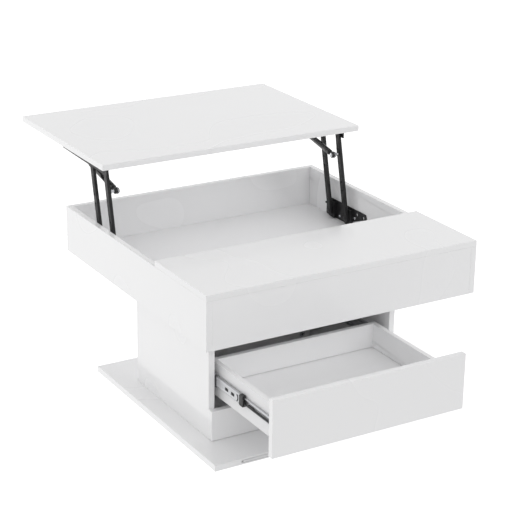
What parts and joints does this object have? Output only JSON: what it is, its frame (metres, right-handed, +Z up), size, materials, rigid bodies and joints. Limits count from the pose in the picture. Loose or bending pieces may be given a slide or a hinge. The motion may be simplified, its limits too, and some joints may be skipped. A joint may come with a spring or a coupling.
{
  "type": "lift top coffee table",
  "caption": "Square white coffee table on a plinth: part of the top lifts and moves back on side linkages over a storage bay, and a drawer slides out of the pedestal.",
  "frame": {"origin": "middle of the square base plate, on the floor", "axes": "+Z up, +Y towards the back, the way the lift top moves, +X to the right seen from the drawer's side"},
  "size_m": [0.785, 1.287, 0.5366],
  "materials": {
    "gloss_lacquer": "high-gloss white lacquer on board, all faces and edges",
    "white_melamine": "satin white melamine foil with a very fine grain on chipboard",
    "black_steel": "satin black powder coat",
    "black_tube": "semi-gloss black paint on steel tube",
    "rod_chrome": "polished hard chrome",
    "black_plastic": "moulded black plastic",
    "zinc_sheet": "rolled zinc-plated steel",
    "bright_zinc": "bright zinc plate",
    "beech": "bare turned beech",
    "felt": "grey pressed felt"
  },
  "bodies": {
    "carcass": {"base_plate": "gloss_lacquer", "glides": "felt", "pedestal_left_side": "gloss_lacquer", "pedestal_right_side": "gloss_lacquer", "pedestal_back": "gloss_lacquer", "kick_board": "gloss_lacquer", "box_left_side": "gloss_lacquer", "box_right_side": "gloss_lacquer", "box_front_panel": "gloss_lacquer", "box_back_panel": "gloss_lacquer", "box_floor": "white_melamine", "fixed_top": "gloss_lacquer", "support_rail": "gloss_lacquer", "base_bracket_left": "black_steel", "base_bracket_right": "black_steel", "base_rivets": "black_steel", "bracket_screws": "bright_zinc", "carcass_screws": "bright_zinc", "carcass_dowels": "beech", "carcass_cams": "bright_zinc", "carcass_cam_bolts": "bright_zinc", "slide_cabinet_left": "zinc_sheet", "slide_cabinet_right": "zinc_sheet", "slide_screws": "bright_zinc"},
    "drawer": {"drawer_front": "gloss_lacquer", "drawer_left_side": "white_melamine", "drawer_right_side": "white_melamine", "drawer_back": "white_melamine", "drawer_bottom": "white_melamine", "drawer_cams": "bright_zinc", "drawer_cam_bolts": "bright_zinc", "drawer_dowels": "beech", "slide_drawer_left": "zinc_sheet", "slide_drawer_right": "zinc_sheet", "slide_release_levers": "black_plastic", "drawer_slide_screws": "bright_zinc"},
    "middle_slide_left": {"slide_middle_left": "zinc_sheet", "slide_bumper_left": "black_plastic"},
    "middle_slide_right": {"slide_middle_right": "zinc_sheet", "slide_bumper_right": "black_plastic"},
    "outer_cages": {"ball_cages_outer": "zinc_sheet"},
    "inner_cages": {"ball_cages_inner": "black_plastic"},
    "lid": {"lift_top": "gloss_lacquer", "top_rail_left": "black_steel", "top_rail_right": "black_steel", "rail_screws": "black_steel", "top_rivets": "black_steel", "strut_rear_studs": "black_steel"},
    "rear_link_left": {"rear_arm_left": "black_steel"},
    "front_link_left": {"front_arm_left": "black_steel"},
    "rod_left": {"strut_rod_left": "rod_chrome"},
    "tube_left": {"strut_tube_left": "black_tube", "strut_socket_left": "black_plastic", "strut_front_stud_left": "bright_zinc"},
    "rear_link_right": {"rear_arm_right": "black_steel"},
    "front_link_right": {"front_arm_right": "black_steel"},
    "rod_right": {"strut_rod_right": "rod_chrome"},
    "tube_right": {"strut_tube_right": "black_tube", "strut_socket_right": "black_plastic", "strut_front_stud_right": "bright_zinc"}
  },
  "joints": [
    {"name": "lift", "type": "hinge", "parent": "carcass", "child": "rear_link_left", "pos_m": [-0.238, 0.402, 0.281], "axis": [-1, 0, 0], "range_deg": [-85.5, 0]},
    {"name": "lid_level", "type": "hinge", "parent": "rear_link_left", "child": "lid", "pos_m": [-0.238, 0.45357, 0.50617], "axis": [-1, 0, 0], "range_deg": [0, 85.5]},
    {"name": "rear_arm_right_turn", "type": "hinge", "parent": "carcass", "child": "rear_link_right", "pos_m": [0.448, 0.402, 0.281], "axis": [-1, 0, 0], "range_deg": [-85.5, 0]},
    {"name": "front_arm_left_turn", "type": "hinge", "parent": "carcass", "child": "front_link_left", "pos_m": [-0.238, 0.324, 0.281], "axis": [-1, 0, 0], "range_deg": [-85.5, 0]},
    {"name": "front_arm_right_turn", "type": "hinge", "parent": "carcass", "child": "front_link_right", "pos_m": [0.448, 0.324, 0.281], "axis": [-1, 0, 0], "range_deg": [-85.5, 0]},
    {"name": "strut_turn_left", "type": "hinge", "parent": "lid", "child": "rod_left", "pos_m": [-0.216, 0.598, 0.5], "axis": [-1, 0, 0], "range_deg": [0, 7.97]},
    {"name": "strut_stroke_left", "type": "slide", "parent": "rod_left", "child": "tube_left", "axis": [0, 0.9802, 0.1981], "range_m": [0, 0.0692]},
    {"name": "strut_turn_right", "type": "hinge", "parent": "lid", "child": "rod_right", "pos_m": [0.426, 0.598, 0.5], "axis": [-1, 0, 0], "range_deg": [0, 7.97]},
    {"name": "strut_stroke_right", "type": "slide", "parent": "rod_right", "child": "tube_right", "axis": [0, 0.9802, 0.1981], "range_m": [0, 0.0692]},
    {"name": "drawer_slide", "type": "slide", "parent": "carcass", "child": "drawer", "axis": [0, -1, 0], "range_m": [-0.2645, 0.035]},
    {"name": "middle_slide_left_travel", "type": "slide", "parent": "carcass", "child": "middle_slide_left", "axis": [0, -1, 0], "range_m": [-0.13231, 0.01756]},
    {"name": "middle_slide_right_travel", "type": "slide", "parent": "carcass", "child": "middle_slide_right", "axis": [0, -1, 0], "range_m": [-0.13231, 0.01756]},
    {"name": "outer_cages_travel", "type": "slide", "parent": "carcass", "child": "outer_cages", "axis": [0, -1, 0], "range_m": [-0.06619, 0.00881]},
    {"name": "inner_cages_travel", "type": "slide", "parent": "carcass", "child": "inner_cages", "axis": [0, -1, 0], "range_m": [-0.19844, 0.02631]}
  ],
  "couplings": [
    {"joint": "lid_level", "follows": "lift", "ratio": -1},
    {"joint": "rear_arm_right_turn", "follows": "lift", "ratio": 1},
    {"joint": "front_arm_left_turn", "follows": "lift", "ratio": 1},
    {"joint": "front_arm_right_turn", "follows": "lift", "ratio": 1},
    {"joint": "strut_turn_left", "follows": "lift", "ratio": -0.093177},
    {"joint": "strut_stroke_left", "follows": "lift", "m_per_rad": -0.046372},
    {"joint": "strut_turn_right", "follows": "lift", "ratio": -0.093177},
    {"joint": "strut_stroke_right", "follows": "lift", "m_per_rad": -0.046372},
    {"joint": "middle_slide_left_travel", "follows": "drawer_slide", "ratio": 0.5},
    {"joint": "middle_slide_right_travel", "follows": "drawer_slide", "ratio": 0.5},
    {"joint": "outer_cages_travel", "follows": "drawer_slide", "ratio": 0.25},
    {"joint": "inner_cages_travel", "follows": "drawer_slide", "ratio": 0.75}
  ]
}
